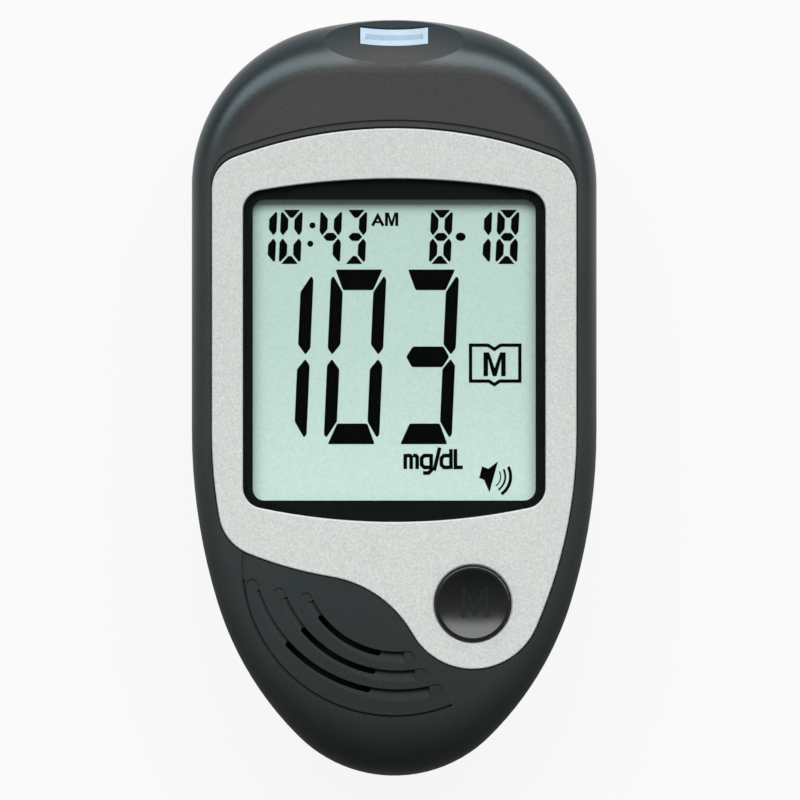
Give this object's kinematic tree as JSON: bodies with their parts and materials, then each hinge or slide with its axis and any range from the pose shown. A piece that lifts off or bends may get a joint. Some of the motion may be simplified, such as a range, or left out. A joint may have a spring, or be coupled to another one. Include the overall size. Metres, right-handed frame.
{
  "type": "blood glucose meter",
  "caption": "Hand-held blood glucose meter: tapered charcoal shell, silver front plate, large display, round button, speaker slots and a strip port at the nose.",
  "frame": {"origin": "centre of the outline, on the plane of the flat back", "axes": "+Z out of the display, +Y towards the strip port, +X to the right as the display is read"},
  "size_m": [0.052, 0.0974, 0.0211],
  "materials": {
    "housing_charcoal": "fine moulded grain",
    "bezel_silver": "silver paint with a fine brushed grain",
    "window_clear": "clear, polished",
    "gasket_black": "matt",
    "lcd_glass": "reflective display glass",
    "holder_white": "matt",
    "zebra_pink": "soft layered rubber",
    "board_green": "solder resist",
    "chip_black": "moulded",
    "contact_steel": "plated",
    "contact_gold": "plated",
    "speaker_steel": "plain",
    "cone_black": "film",
    "lead_red": "insulation",
    "screw_steel": "plain",
    "button_black": "polished",
    "guide_pale": "translucent pale blue",
    "cell_case": "plain sleeve"
  },
  "bodies": {
    "meter": {"front_housing": "housing_charcoal", "rear_housing": "housing_charcoal", "bezel_plate": "bezel_silver", "display_window": "window_clear", "strip_guide": "guide_pale", "cell_left": "cell_case", "cell_right": "cell_case", "lcd_panel": "lcd_glass", "lcd_holder": "holder_white", "zebra_strip": "zebra_pink", "main_board": "board_green", "controller_chip": "chip_black", "voice_chip": "chip_black", "memory_chip": "chip_black", "crystal": "contact_steel", "strip_connector": "chip_black", "strip_contacts": "contact_gold", "speaker_frame": "speaker_steel", "speaker_cone": "cone_black", "speaker_magnet": "speaker_steel", "speaker_gasket": "gasket_black", "speaker_leads": "lead_red", "main_switch": "chip_black", "set_switch": "chip_black", "plus_plate": "contact_steel", "minus_plate": "contact_steel", "link_plate": "contact_steel", "minus_spring": "contact_steel", "link_spring": "contact_steel", "housing_screws": "screw_steel", "board_screws": "screw_steel", "window_gasket": "gasket_black"},
    "main_button": {"main_button": "button_black", "main_plunger": "holder_white"},
    "set_button": {"set_button": "button_black", "set_plunger": "holder_white"},
    "battery_door": {"battery_door": "housing_charcoal"}
  },
  "joints": [
    {"name": "main_press", "type": "slide", "parent": "meter", "child": "main_button", "axis": [0, 0, -1], "range_m": [0, 0.0005], "stiffness_N_per_m": 2000},
    {"name": "set_press", "type": "slide", "parent": "meter", "child": "set_button", "axis": [0, 0, 1], "range_m": [0, 0.0004], "stiffness_N_per_m": 2000},
    {"name": "door_swing", "type": "hinge", "parent": "meter", "child": "battery_door", "pos_m": [0, -0.0268, 0.00075], "axis": [-1, 0, 0], "range_deg": [0, 90]}
  ]
}
